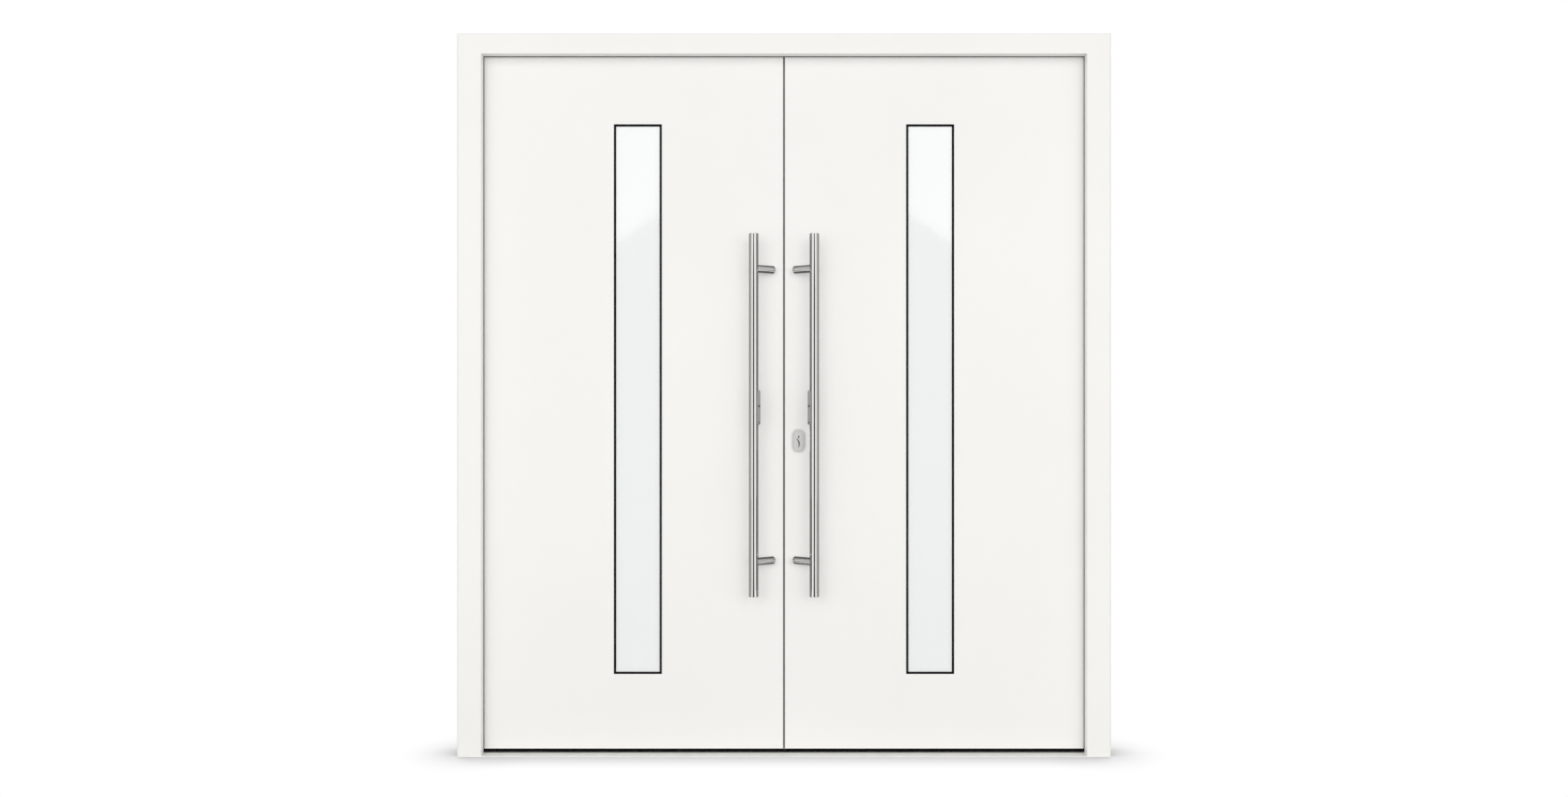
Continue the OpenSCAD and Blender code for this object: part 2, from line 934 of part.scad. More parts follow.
module glazing_bead_left() {
    glazing_bead(-1);
}

module glazing_bead_right() {
    glazing_bead(1);
}

// Pull bars

module pull_bar(side) {
    r = bar_d / 2;
    color(steel)
        on_side(side)
            translate([bar_x, bar_y, bar_z])
                rotate_extrude()
                    polygon([[0, 0], [r - bar_bevel, 0], [r, bar_bevel], [r, bar_len - bar_bevel],
                        [r - bar_bevel, bar_len], [0, bar_len]]);
}

module pull_bar_left() {
    pull_bar(-1);
}

module pull_bar_right() {
    pull_bar(1);
}

// Posts cut to the bar's round at one end, each on a short foot at the other
module bar_posts(side) {
    reach = (bar_off - foot_gap - post_d / 2 * sin(post_slant)) / cos(post_slant);
    foot_x = bar_x - reach * sin(post_slant);
    foot_y = bar_y + reach * cos(post_slant);
    color(steel)
        on_side(side)
            for (z = [bar_z + post_in, bar_z + bar_len - post_in])
                difference() {
                    union() {
                        translate([bar_x, bar_y, z])
                            rotate([-90, 0, post_slant])
                                cylinder(d = post_d, h = reach);
                        rod_y(foot_x, z, foot_d / 2, [foot_y, leaf_front]);
                    }
                    translate([bar_x, bar_y, z - post_d])
                        cylinder(r = bar_d / 2 + pin_clear, h = 2 * post_d);
                }
}

module bar_posts_left() {
    bar_posts(-1);
}

module bar_posts_right() {
    bar_posts(1);
}

// Outline of the side module from the front, square where the bar runs through it
module module_front() {
    top = module_z + module_h;
    panel([module_x + module_r, bar_x], [module_z, top]);
    panel([module_x, bar_x], [module_z + module_r, top - module_r]);
    for (z = [module_z + module_r, top - module_r])
        translate([module_x + module_r, z])
            circle(module_r);
}

// Slim pad on the bar's inner side, with a sensor dot and a screw recess
module bar_module(side) {
    mid_z = module_z + module_h / 2;
    front = bar_y - module_w / 2;
    dot_x = bar_x - bar_d / 2 - module_dot / 2;
    dot_rise = 4.5;
    screw_in = 8;
    dent = 1;
    color(grey)
        on_side(side)
            difference() {
                intersection() {
                    along_x([module_x, bar_x])
                        translate([bar_y, mid_z])
                            oblong(module_w, module_h);
                    along_y([front, front + module_w])
                        module_front();
                }
                translate([bar_x, bar_y, module_z - cut])
                    cylinder(r = bar_d / 2 + pin_clear, h = module_h + 2 * cut);
                for (z = [mid_z + dot_rise, module_z + screw_in])
                    rod_y(dot_x, z, module_dot / 2, [front - cut, front + dent]);
            }
}

module bar_module_left() {
    bar_module(-1);
}

module bar_module_right() {
    bar_module(1);
}

// Lock on the right leaf

// Radius of an arc, from its chord and its bow
function arc_r(chord, bow) = (chord * chord / 4 + bow * bow) / (2 * bow);

// Crescent beside the keyhole, pointed at both ends
module finger_groove() {
    outer = arc_r(groove_len, groove_bow);
    inner = arc_r(groove_len, groove_bow - groove_w);
    difference() {
        translate([groove_bow - outer, 0])
            circle(outer);
        translate([groove_bow - groove_w - inner, 0])
            circle(inner);
    }
}

// Oval shield that covers the cylinder, with a collar round the plug and a curved finger groove
module escutcheon() {
    rim = 4;
    rim_t = 1.5;
    mid_drop = 11.5;
    mid_z = plug_z - mid_drop;
    groove_off = [-5.5, -19];
    groove_tilt = 12;
    color(steel)
        difference() {
            union() {
                along_y([rosette_face + rim_t, leaf_front])
                    translate([lock_x, mid_z])
                        oblong(rosette_w, rosette_h);
                along_y([rosette_face, leaf_front])
                    translate([lock_x, mid_z])
                        oblong(rosette_w - 2 * rim, rosette_h - 2 * rim);
                rod_y(lock_x, plug_z, collar_d / 2, [rosette_face - collar_t, leaf_front]);
            }
            cylinder_cut([rosette_face + cover_t, leaf_front + cut]);
            rod_y(lock_x, plug_z, plug_d / 2 + slide_clear, [rosette_face - collar_t - cut, leaf_front]);
            along_y([rosette_face - collar_t - cut, rosette_face + groove_t])
                translate([lock_x + groove_off[0], plug_z + groove_off[1]])
                    rotate(groove_tilt)
                        finger_groove();
        }
}

// Barrel cut away in the middle, where the cam turns
module cylinder_body() {
    color("#8f8b80")
        difference() {
            along_y([cylinder_front, rose_back])
                cylinder_outline(0);
            rod_y(lock_x, plug_z, plug_d / 2 + pin_clear, [cylinder_front - cut, rose_back + cut]);
            block([lock_x - cylinder_d, lock_x + cylinder_d],
                [lock_y - cam_w / 2 - slide_clear, lock_y + cam_w / 2 + slide_clear],
                [plug_z - cam_reach - slide_clear, plug_z + cylinder_d]);
        }
}

// Turning plug with its keyway in front, the cam in the middle and the thumb-turn inside
module cylinder_plug() {
    keyway = [3, 9, 12];
    key_d = 5;
    turn_lip = 3;
    turn_y = rose_back + slide_clear;
    color("#c9b77a")
        difference() {
            union() {
                rod_y(lock_x, plug_z, plug_d / 2, [plug_front, turn_y + turn_len / 2]);
                along_y([lock_y - cam_w / 2, lock_y + cam_w / 2])
                    translate([lock_x, plug_z])
                        intersection() {
                            circle(cam_reach);
                            panel([-cam_t / 2, cam_t / 2], [-cam_reach, 0]);
                        }
                rod_y(lock_x, plug_z, plug_d / 2 + turn_lip, [turn_y, turn_y + turn_len / 4]);
                along_y([turn_y, turn_y + turn_len])
                    translate([lock_x, plug_z])
                        oblong(plug_d / 2, turn_w);
            }
            block([lock_x - keyway[0] / 2, lock_x + keyway[0] / 2],
                [plug_front - cut, plug_front + keyway[2]],
                [plug_z - keyway[1] / 2, plug_z + keyway[1] / 2]);
            rod_y(lock_x, plug_z, key_d / 2, [plug_front - cut, plug_front + keyway[2]]);
        }
}

// Main case and two side cases, with channels for the latch and the bolts
module lock_cases() {
    y = [lock_y - case_t / 2, lock_y + case_t / 2];
    cam_room = [lock_y - cam_w / 2 - 2 * slide_clear, lock_y + cam_w / 2 + 2 * slide_clear];
    color(steel)
        difference() {
            union() {
                block([case_x0, case_x1], y, [case_z0, case_z0 + case_h]);
                for (z = end_bolt_zs)
                    block([case_x0, side_case_x1], y, [z - side_case_h / 2, z + side_case_h / 2]);
            }
            bolt_cuts([case_x0 - cut, channel_x1], slide_clear);
            cylinder_cut([y[0] - cut, y[1] + cut]);
            rod_y(lock_x, plug_z, cam_reach + 2 * slide_clear, cam_room);
            spindle_cut([y[0] - cut, y[1] + cut]);
        }
}

module edge_strip(side, grow) {
    on_side(side)
        difference() {
            block([leaf_meet, leaf_meet + plate_t], [lock_y - plate_w / 2, lock_y + plate_w / 2],
                [leaf_bottom + plate_in, leaf_top - plate_in]);
            bolt_cuts([leaf_meet - cut, leaf_meet + plate_t + cut], grow);
        }
}

module faceplate() {
    color(steel) edge_strip(1, slide_clear);
}

module strike_strip() {
    color(steel) edge_strip(-1, keeper_clear);
}

// Latch with its bevel on the outer side, so that it rides over the strike when the leaf closes
module latch() {
    tip = leaf_meet - latch_out;
    color(steel)
        translate([0, 0, lever_z - latch_h / 2])
            linear_extrude(latch_h)
                polygon([[latch_tail, lock_y - bolt_t / 2], [latch_tail, lock_y + bolt_t / 2],
                    [tip, lock_y + bolt_t / 2], [tip, lock_y + bolt_t / 2 - 2],
                    [leaf_meet - 3, lock_y - bolt_t / 2]]);
}

module dead_bolts() {
    color(steel)
        for (z = bolt_zs)
            block([bolt_rest, bolt_rest + bolt_len], [lock_y - bolt_t / 2, lock_y + bolt_t / 2],
                [z - bolt_h / 2, z + bolt_h / 2]);
}

// Furniture on the inside of the right leaf

// Lever that turns back towards the leaf at its end, on a square spindle
module inside_lever() {
    r = lever_d / 2;
    y = leaf_back + lever_off;
    end_x = lock_x + lever_len - r;
    color(steel) {
        translate([lock_x - spindle / 2, lock_y - case_t / 2, lever_z - spindle / 2])
            cube([spindle, leaf_back - lock_y + case_t / 2 + 2 * slide_clear, spindle]);
        rod_y(lock_x, lever_z, r, [leaf_back + slide_clear, y]);
        rod_x(y, lever_z, r, [lock_x, end_x]);
        for (x = [lock_x, end_x])
            translate([x, y, lever_z])
                sphere(r);
        rod_y(end_x, lever_z, r, [y - lever_off / 3, y]);
    }
}

module inside_roses() {
    y = [leaf_back, rose_back];
    color(steel)
        difference() {
            union() {
                rod_y(lock_x, lever_z, rose_d / 2, y);
                rod_y(lock_x, plug_z - 4, rose_d / 2, y);
            }
            rod_y(lock_x, lever_z, lever_d / 2 + slide_clear, [y[0] - cut, y[1] + cut]);
            cylinder_cut([y[0] - cut, y[1] + cut]);
        }
}

// Fittings of the left leaf

// Soft strip on the meeting edge that closes the gap between the leaves
module meeting_seal() {
    base = [8, 1.5];
    fin_w = 3;
    fin_out = meeting_gap - seal_clear;
    y = lock_y + plate_w / 2 + seal_from_plate;
    color(black) {
        block([-leaf_meet, -leaf_meet + base[1]], [y - base[0] / 2, y + base[0] / 2],
            [leaf_bottom, leaf_top]);
        block([-leaf_meet, -leaf_meet + fin_out], [y - fin_w / 2, y + fin_w / 2],
            [leaf_bottom, leaf_top]);
        dark_strip(-1);
    }
}

// Dark strip on a leaf's meeting edge, just behind its outer face
module dark_strip(side) {
    on_side(side)
        block([leaf_meet - strip_t, leaf_meet],
            [leaf_front + strip_in, leaf_front + strip_in + strip_w], [leaf_bottom, leaf_top]);
}

module edge_seal() {
    color(black) dark_strip(1);
}

// Slot in the stile for a thumb slide that travels down or up
module thumb_cut(z, down, up) {
    block([case_x0 - cut, case_x0 + leaf_wall + cut],
        [lock_y - thumb[0] / 2 - slide_clear, lock_y + thumb[0] / 2 + slide_clear],
        [z - thumb[1] / 2 - down - slide_clear, z + thumb[1] / 2 + up + slide_clear]);
}

// Round bolt with a thumb slide that reaches the meeting edge
module flush_bolt(z, thumb_z) {
    slide_in = 1;
    color(steel)
        on_side(-1) {
            translate([flush_x, lock_y, z])
                cylinder(d = flush_d, h = flush_len);
            block([leaf_meet + slide_in, flush_x], [lock_y - thumb[0] / 2, lock_y + thumb[0] / 2],
                [thumb_z - thumb[1] / 2, thumb_z + thumb[1] / 2]);
        }
}

module flush_bolt_top() {
    flush_bolt(leaf_top - set_in - flush_len, leaf_top - thumb_in);
}

module flush_bolt_bottom() {
    flush_bolt(leaf_bottom + set_in, leaf_bottom + thumb_in);
}

jamb_left();
jamb_right();
head();
corner_connectors();
sill_outer();
sill_break();
sill_inner();
frame_gasket();
anchor_caps();
hinge_frame_plates();
hinge_pins();
bolt_keepers();
outer_skin_left();
core_left();
inner_skin_left();
hinge_stile_left();
lock_stile_left();
rails_left();
glazing_gasket_left();
outer_pane_left();
spacer_left();
inner_pane_left();
glazing_bead_left();
bottom_brush_left();
pull_bar_left();
bar_posts_left();
bar_module_left();
hinge_plates_left();
outer_skin_right();
core_right();
inner_skin_right();
hinge_stile_right();
lock_stile_right();
rails_right();
glazing_gasket_right();
outer_pane_right();
spacer_right();
inner_pane_right();
glazing_bead_right();
bottom_brush_right();
pull_bar_right();
bar_posts_right();
bar_module_right();
hinge_plates_right();
escutcheon();
cylinder_body();
cylinder_plug();
lock_cases();
faceplate();
latch();
dead_bolts();
inside_lever();
inside_roses();
edge_seal();
strike_strip();
meeting_seal();
flush_bolt_top();
flush_bolt_bottom();
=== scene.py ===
"""Finishes, studio and camera for a white double front door in its frame."""

import json
import math

import bmesh
import bpy
from mathutils import Matrix, Vector


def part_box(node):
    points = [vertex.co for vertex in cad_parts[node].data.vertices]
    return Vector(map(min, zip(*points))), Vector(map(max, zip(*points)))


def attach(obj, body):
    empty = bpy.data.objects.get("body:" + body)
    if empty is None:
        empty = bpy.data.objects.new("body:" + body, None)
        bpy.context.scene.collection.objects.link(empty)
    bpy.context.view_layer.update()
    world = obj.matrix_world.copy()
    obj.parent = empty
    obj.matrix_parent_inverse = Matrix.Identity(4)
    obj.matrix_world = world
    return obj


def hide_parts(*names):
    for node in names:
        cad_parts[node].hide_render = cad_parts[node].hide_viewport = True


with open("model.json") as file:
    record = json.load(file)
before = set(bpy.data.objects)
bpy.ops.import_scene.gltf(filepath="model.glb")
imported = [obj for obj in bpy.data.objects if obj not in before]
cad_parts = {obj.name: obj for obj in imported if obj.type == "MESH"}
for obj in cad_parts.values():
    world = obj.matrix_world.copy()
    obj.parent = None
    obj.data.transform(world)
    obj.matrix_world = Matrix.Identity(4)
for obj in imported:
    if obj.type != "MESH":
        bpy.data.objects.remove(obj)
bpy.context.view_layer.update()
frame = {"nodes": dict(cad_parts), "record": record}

MM = 0.001
WELD = 0.002 * MM
PLUG_Z = 0.972
HINGE_PLATE_T = 4 * MM
SIDES = ("left", "right")
LEAF_BODY = {"left": "passive_leaf", "right": "active_leaf"}


# Nodes and colours


def linear(code):
    """Linear red, green, blue and alpha of an sRGB hex colour."""
    channels = [int(code[i:i + 2], 16) / 255 for i in (1, 3, 5)]
    return [c / 12.92 if c <= 0.04045 else ((c + 0.055) / 1.055) ** 2.4 for c in channels] + [1.0]


def add(tree, kind, settings=None, links=None):
    """Adds a node, sets its inputs or properties by name, and links its inputs to (node, output) pairs."""
    node = tree.nodes.new(kind)
    for name, value in (settings or {}).items():
        if isinstance(name, int) or name in node.inputs:
            node.inputs[name].default_value = value
        else:
            setattr(node, name, value)
    for name, (source, output) in (links or {}).items():
        tree.links.new(source.outputs[output], node.inputs[name])
    return node


def new_finish(name):
    """Empty material with its output, ready for a surface."""
    finish = bpy.data.materials.new(name)
    finish.use_nodes = True
    finish.node_tree.nodes.clear()
    return finish, finish.node_tree


def surface(tree, shader):
    """Makes a shader the surface of its material."""
    add(tree, "ShaderNodeOutputMaterial", links={"Surface": (shader, 0)})


def object_coords(tree, stretch=(1.0, 1.0, 1.0)):
    """Object coordinates in metres, squeezed along an axis where the pattern runs along it."""
    place = add(tree, "ShaderNodeTexCoord")
    return add(tree, "ShaderNodeMapping", {"Scale": stretch}, {"Vector": (place, "Object")})


def per_size(size_mm):
    """Noise scale whose features are about that size."""
    return 1.0 / (size_mm * MM)


def tint(tree, source, output, dark, light):
    """Two colours mixed by the middle range of a pattern."""
    ramp = add(tree, "ShaderNodeValToRGB", links={"Fac": (source, output)})
    for stop, position, code in zip(ramp.color_ramp.elements, (0.3, 0.7), (dark, light)):
        stop.position = position
        stop.color = linear(code)
    return ramp


def spread(tree, source, output, low, high):
    """A pattern from 0 to 1, brought into a range."""
    return add(tree, "ShaderNodeMapRange", {"To Min": low, "To Max": high}, {"Value": (source, output)})


# Finishes


def powder_coat(name, dark, light):
    """Polyester powder coat on aluminium, sprayed and baked: satin, with a faint orange-peel ripple."""
    finish, tree = new_finish(name)
    coords = object_coords(tree)
    cloud = add(tree, "ShaderNodeTexNoise", {"Scale": per_size(600), "Detail": 2.0},
                {"Vector": (coords, 0)})
    peel = add(tree, "ShaderNodeTexNoise", {"Scale": per_size(1.6), "Detail": 1.0},
               {"Vector": (coords, 0)})
    bump = add(tree, "ShaderNodeBump", {"Strength": 0.05, "Distance": 0.02 * MM}, {"Height": (peel, 0)})
    colour = tint(tree, cloud, 0, dark, light)
    gloss = spread(tree, cloud, 0, 0.42, 0.50)
    shader = add(tree, "ShaderNodeBsdfPrincipled", {"IOR": 1.5},
                 {"Base Color": (colour, 0), "Roughness": (gloss, 0), "Normal": (bump, 0)})
    surface(tree, shader)
    return finish


def brushed_steel(name, dark, light, grain_mm, stretch, rough):
    """Stainless steel brushed in one direction: fine parallel scratches that draw reflections out."""
    finish, tree = new_finish(name)
    coords = object_coords(tree, stretch)
    grain = add(tree, "ShaderNodeTexNoise", {"Scale": per_size(grain_mm), "Detail": 4.0, "Roughness": 0.6},
                {"Vector": (coords, 0)})
    colour = tint(tree, grain, 0, dark, light)
    gloss = spread(tree, grain, 0, rough[0], rough[1])
    shader = add(tree, "ShaderNodeBsdfPrincipled", {"Metallic": 1.0},
                 {"Base Color": (colour, 0), "Roughness": (gloss, 0)})
    surface(tree, shader)
    return finish


def plain_metal(name, dark, light, patch_mm, rough, metal=1.0):
    """Plated, anodised or mill-finished metal: a fine cloudy sheen, chalky where it is blasted."""
    finish, tree = new_finish(name)
    coords = object_coords(tree)
    cloud = add(tree, "ShaderNodeTexNoise", {"Scale": per_size(patch_mm), "Detail": 3.0},
                {"Vector": (coords, 0)})
    colour = tint(tree, cloud, 0, dark, light)
    gloss = spread(tree, cloud, 0, rough[0], rough[1])
    shader = add(tree, "ShaderNodeBsdfPrincipled", {"Metallic": metal},
                 {"Base Color": (colour, 0), "Roughness": (gloss, 0)})
    surface(tree, shader)
    return finish


def moulded(name, dark, light, grit_mm, rough, bump_mm=0.03, ior=1.5):
    """Moulded, extruded or foamed polymer: one colour with a fine even texture."""
    finish, tree = new_finish(name)
    coords = object_coords(tree)
    grit = add(tree, "ShaderNodeTexNoise", {"Scale": per_size(grit_mm), "Detail": 3.0},
               {"Vector": (coords, 0)})
    colour = tint(tree, grit, 0, dark, light)
    bump = add(tree, "ShaderNodeBump", {"Strength": 0.25, "Distance": bump_mm * MM},
               {"Height": (grit, 0)})
    shader = add(tree, "ShaderNodeBsdfPrincipled", {"Roughness": rough, "IOR": ior},
                 {"Base Color": (colour, 0), "Normal": (bump, 0)})
    surface(tree, shader)
    return finish


def satin_glass(name, dark, light):
    """Laminated glass with a white satin layer: pale and even, under a face that mirrors the room."""
    finish, tree = new_finish(name)
    coords = object_coords(tree)
    haze = add(tree, "ShaderNodeTexNoise", {"Scale": per_size(250), "Detail": 2.0},
               {"Vector": (coords, 0)})
    ripple = add(tree, "ShaderNodeTexNoise", {"Scale": per_size(90), "Detail": 1.0},
                 {"Vector": (coords, 0)})
    bump = add(tree, "ShaderNodeBump", {"Strength": 0.02, "Distance": 0.1 * MM}, {"Height": (ripple, 0)})
    colour = tint(tree, haze, 0, dark, light)
    shader = add(tree, "ShaderNodeBsdfPrincipled", {"Roughness": 0.05, "IOR": 1.9},
                 {"Base Color": (colour, 0), "Normal": (bump, 0)})
    surface(tree, shader)
    return finish


FINISH = {
    "frame_paint": powder_coat("powder_coat_frame", "#F1F0EC", "#F3F2EE"),
    "leaf_paint": powder_coat("powder_coat_leaf", "#F1F0ED", "#F3F2EF"),
    "hinge_paint": powder_coat("powder_coat_hinge", "#EDECE9", "#EFEEEB"),
    "sill_metal": plain_metal(
        "anodised_sill", "#EAEAE7", "#F0F0ED", patch_mm=40, rough=(0.4, 0.5), metal=0.3),
    "plain_aluminium": plain_metal(
        "mill_aluminium", "#B4B5B5", "#C2C3C3", patch_mm=25, rough=(0.35, 0.5)),
    # Black polyamide parts; also the painted shade inside the escutcheon's groove and the plug's keyway.
    "black_polyamide": moulded("polyamide_and_recess_shade", "#161616", "#202020", grit_mm=0.8, rough=0.6),
    "black_rubber": moulded("extruded_rubber", "#0A0A0A", "#111111", grit_mm=1.2, rough=0.7, ior=1.2),
    "brush_black": moulded("nylon_bristle", "#060606", "#0C0C0C", grit_mm=3.0, rough=0.8, ior=1.2),
    "white_plastic": moulded("white_moulded_plastic", "#E4E3E0", "#EAE9E6", grit_mm=1.0, rough=0.45),
    "bright_steel": plain_metal(
        "zinc_plated_steel", "#A9ABAB", "#C4C5C3", patch_mm=6, rough=(0.22, 0.4)),
    "edge_steel": brushed_steel(
        "brushed_strip", "#A9A9A7", "#C3C3C0", grain_mm=0.6, stretch=(1.0, 1.0, 0.02), rough=(0.24, 0.36)),
    "brushed_stainless": brushed_steel(
        "brushed_stainless", "#EFEEEB", "#F6F5F2", grain_mm=0.5, stretch=(1.0, 1.0, 0.01),
        rough=(0.03, 0.06)),
    "post_steel": brushed_steel(
        "turned_stainless", "#ECEBE8", "#F2F1EE", grain_mm=0.5, stretch=(0.05, 1.0, 1.0),
        rough=(0.13, 0.19)),
    "lever_steel": brushed_steel(
        "satin_stainless_lever", "#B9B8B5", "#C6C5C2", grain_mm=0.5, stretch=(0.02, 1.0, 1.0),
        rough=(0.22, 0.3)),
    "module_grey": moulded("grey_satin_plastic", "#8E8E8B", "#9A9A97", grit_mm=0.8, rough=0.4),
    "shield": plain_metal(
        "satin_stainless", "#E8E7E4", "#EEEDEA", patch_mm=4, rough=(0.3, 0.4), metal=0.4),
    # Escutcheon rims: a real turned, mirror-like edge, darker than the face as painted shade.
    "turned_edge_shade": plain_metal("turned_steel_rim_shade", "#A2A29F", "#AEAEAB", patch_mm=3, rough=(0.25, 0.35)),
    "plug": plain_metal(
        "nickel_plated_brass", "#F0EFEC", "#F4F3F0", patch_mm=4, rough=(0.3, 0.4), metal=0.2),
    "nickel": plain_metal(
        "satin_nickel", "#CFCDC9", "#D9D7D3", patch_mm=4, rough=(0.35, 0.45), metal=0.35),
    "foam": moulded("rigid_foam", "#CFC29C", "#DDD2B0", grit_mm=2.5, rough=0.9, bump_mm=0.3),
    "glass": satin_glass("satin_glass", "#F6F7F7", "#F7F8F8"),
}


# Pieces


def plain_mesh(piece):
    """Turns a piece and its modifiers into one plain mesh."""
    bpy.context.view_layer.update()
    shaped = piece.evaluated_get(bpy.context.evaluated_depsgraph_get())
    made = bpy.data.meshes.new_from_object(shaped)
    piece.modifiers.clear()
    piece.data = made
    return piece


def place(name, mesh):
    """Puts a mesh in the scene as a piece."""
    piece = bpy.data.objects.new(name, mesh)
    bpy.context.scene.collection.objects.link(piece)
    return piece


def place_made(name, made):
    """Puts geometry that was built by hand in the scene as a piece."""
    mesh = bpy.data.meshes.new(name)
    made.to_mesh(mesh)
    made.free()
    return place(name, mesh)


def merged_copy(node, name):
    """A copy of a solid with its loose triangles joined into flat faces."""
    made = bmesh.new()
    made.from_mesh(frame["nodes"][node].data)
    bmesh.ops.remove_doubles(made, verts=made.verts, dist=WELD)
    bmesh.ops.dissolve_limit(made, angle_limit=math.radians(0.5), verts=made.verts, edges=made.edges)
    bmesh.ops.connect_verts_concave(made, faces=made.faces)
    bmesh.ops.recalc_face_normals(made, faces=made.faces)
    return place_made(name, made)


def soften(piece, edge_mm):
    """Breaks the sharp edges with a small round and shades the flats flat."""
    bevel = piece.modifiers.new("edges", "BEVEL")
    bevel.width = edge_mm * MM
    bevel.segments = 2
    bevel.limit_method = "ANGLE"
    bevel.angle_limit = math.radians(35)
    bevel.use_clamp_overlap = True
    plain_mesh(piece)
    piece.data.polygons.foreach_set("use_smooth", [True] * len(piece.data.polygons))
    piece.data.set_sharp_from_angle(angle=math.radians(50))
    flats = piece.modifiers.new("flats", "WEIGHTED_NORMAL")
    flats.mode = "FACE_AREA"
    flats.weight = 100
    flats.keep_sharp = True
    return plain_mesh(piece)


def dress(piece, slot, body, *nodes):
    """Gives a piece its finish and its body, and lets it stand for solids."""
    if not piece.data.materials:
        piece.data.materials.append(FINISH[slot])
    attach(piece, body)
    if nodes:
        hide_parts(*nodes)
    return piece


SLOT = {row["node"]: row["material_slot"] for row in frame["record"]["subparts"]}
BODY = {node: body for body, nodes in frame["record"]["behaviour"]["bodies"].items() for node in nodes}


def softened(node, edge_mm):
    """Stands in for a solid with the same shape and small rounds on its edges."""
    piece = soften(merged_copy(node, node + "_shape"), edge_mm)
    return dress(piece, SLOT[node], BODY[node], node)


def paint_solids():
    """Every solid takes its finish, also those that stay as they are."""
    for node, solid in frame["nodes"].items():
        solid.data.materials.clear()
        solid.data.materials.append(FINISH[SLOT[node]])


def frame_shell():
    """Jambs and head welded at the corners, ground flush and coated as one."""
    shell = merged_copy("head", "frame_shell")
    for node in ("jamb_left", "jamb_right"):
        jamb = merged_copy(node, node + "_weld")
        weld = shell.modifiers.new(node, "BOOLEAN")
        weld.operation = "UNION"
        weld.solver = "EXACT"
        weld.object = jamb
    plain_mesh(shell)
    for node in ("jamb_left", "jamb_right"):
        bpy.data.objects.remove(bpy.data.objects[node + "_weld"])
    return dress(soften(shell, edge_mm=0.8), "frame_paint", "frame", "head", "jamb_left", "jamb_right")


def islands(node):
    """Low and high corners of each separate body in a solid, in a fixed order."""
    made = bmesh.new()
    made.from_mesh(frame["nodes"][node].data)
    bmesh.ops.remove_doubles(made, verts=made.verts, dist=WELD)
    left = set(made.verts)
    boxes = []
    while left:
        group, edge = set(), [left.pop()]
        while edge:
            vert = edge.pop()
            group.add(vert)
            near = {e.other_vert(vert) for e in vert.link_edges} & left
            left -= near
            edge.extend(near)
        low = Vector([min(v.co[i] for v in group) for i in range(3)])
        high = Vector([max(v.co[i] for v in group) for i in range(3)])
        boxes.append((low, high))
    made.free()
    return sorted(boxes, key=lambda box: box[0][:])


def paint_recess_shade(piece, low, high):
    """Faces inside a box, such as those of a recess, are coloured black as painted shade."""
    piece.data.materials.append(FINISH["black_polyamide"])
    for face in piece.data.polygons:
        if all(low[i] < face.center[i] < high[i] for i in range(3)):
            face.material_index = len(piece.data.materials) - 1


def geometry_tree(name, sizes):
    """Geometry tree with named sizes, and its input node."""
    tree = bpy.data.node_groups.new(name, "GeometryNodeTree")
    tree.interface.new_socket("Geometry", in_out="INPUT", socket_type="NodeSocketGeometry")
    for label, kind in sizes:
        tree.interface.new_socket(label, in_out="INPUT", socket_type="NodeSocket" + kind)
    tree.interface.new_socket("Geometry", in_out="OUTPUT", socket_type="NodeSocketGeometry")
    return tree, add(tree, "NodeGroupInput")


def grow(piece, tree, values):
    """Runs a geometry tree on a piece with its sizes set, and keeps the plain mesh."""
    run = piece.modifiers.new(tree.name, "NODES")
    run.node_group = tree
    for socket in tree.interface.items_tree:
        if socket.in_out == "INPUT" and socket.name in values:
            run[socket.identifier] = values[socket.name]
    return plain_mesh(piece)


def screw_tree():
    """A cross-head screw on every point, turned to face the way the point says."""
    sizes = (("Head", "Float"), ("Height", "Float"), ("Slot", "Float"), ("Finish", "Material"))
    tree, given = geometry_tree("cross_head_screws", sizes)
    radius = add(tree, "ShaderNodeMath", {"operation": "MULTIPLY", 1: 0.5}, {0: (given, "Head")})
    head = add(tree, "GeometryNodeMeshCylinder", {"Vertices": 24},
               {"Radius": (radius, 0), "Depth": (given, "Height")})
    long = add(tree, "ShaderNodeMath", {"operation": "MULTIPLY", 1: 0.62}, {0: (given, "Head")})
    bars = []
    for order in (("X", "Y"), ("Y", "X")):
        size = add(tree, "ShaderNodeCombineXYZ", links={order[0]: (long, 0), order[1]: (given, "Slot"),
                                                        "Z": (given, "Height")})
        bars.append(add(tree, "GeometryNodeMeshCube", links={"Size": (size, 0)}))
    cross = add(tree, "GeometryNodeMeshBoolean", {"operation": "UNION", "solver": "MANIFOLD"})
    for bar in bars:
        tree.links.new(bar.outputs["Mesh"], cross.inputs["Mesh 2"])
    sunk = add(tree, "ShaderNodeMath", {"operation": "MULTIPLY", 1: 0.4}, {0: (given, "Height")})
    lift = add(tree, "ShaderNodeCombineXYZ", links={"Z": (sunk, 0)})
    raised = add(tree, "GeometryNodeTransform",
                 links={"Geometry": (cross, "Mesh"), "Translation": (lift, 0)})
    slotted = add(tree, "GeometryNodeMeshBoolean", {"operation": "DIFFERENCE", "solver": "MANIFOLD"},
                  {"Mesh 1": (head, "Mesh"), "Mesh 2": (raised, 0)})
    facing = add(tree, "GeometryNodeInputNamedAttribute", {"data_type": "FLOAT_VECTOR", "Name": "facing"})
    turned = add(tree, "FunctionNodeAlignRotationToVector", {"axis": "Z"},
                 {"Vector": (facing, "Attribute")})
    placed = add(tree, "GeometryNodeInstanceOnPoints",
                 links={"Points": (given, "Geometry"), "Instance": (slotted, "Mesh"),
                        "Rotation": (turned, 0)})
    real = add(tree, "GeometryNodeRealizeInstances", links={"Geometry": (placed, 0)})
    dressed = add(tree, "GeometryNodeSetMaterial",
                  links={"Geometry": (real, 0), "Material": (given, "Finish")})
    add(tree, "NodeGroupOutput", links={"Geometry": (dressed, 0)})
    return tree


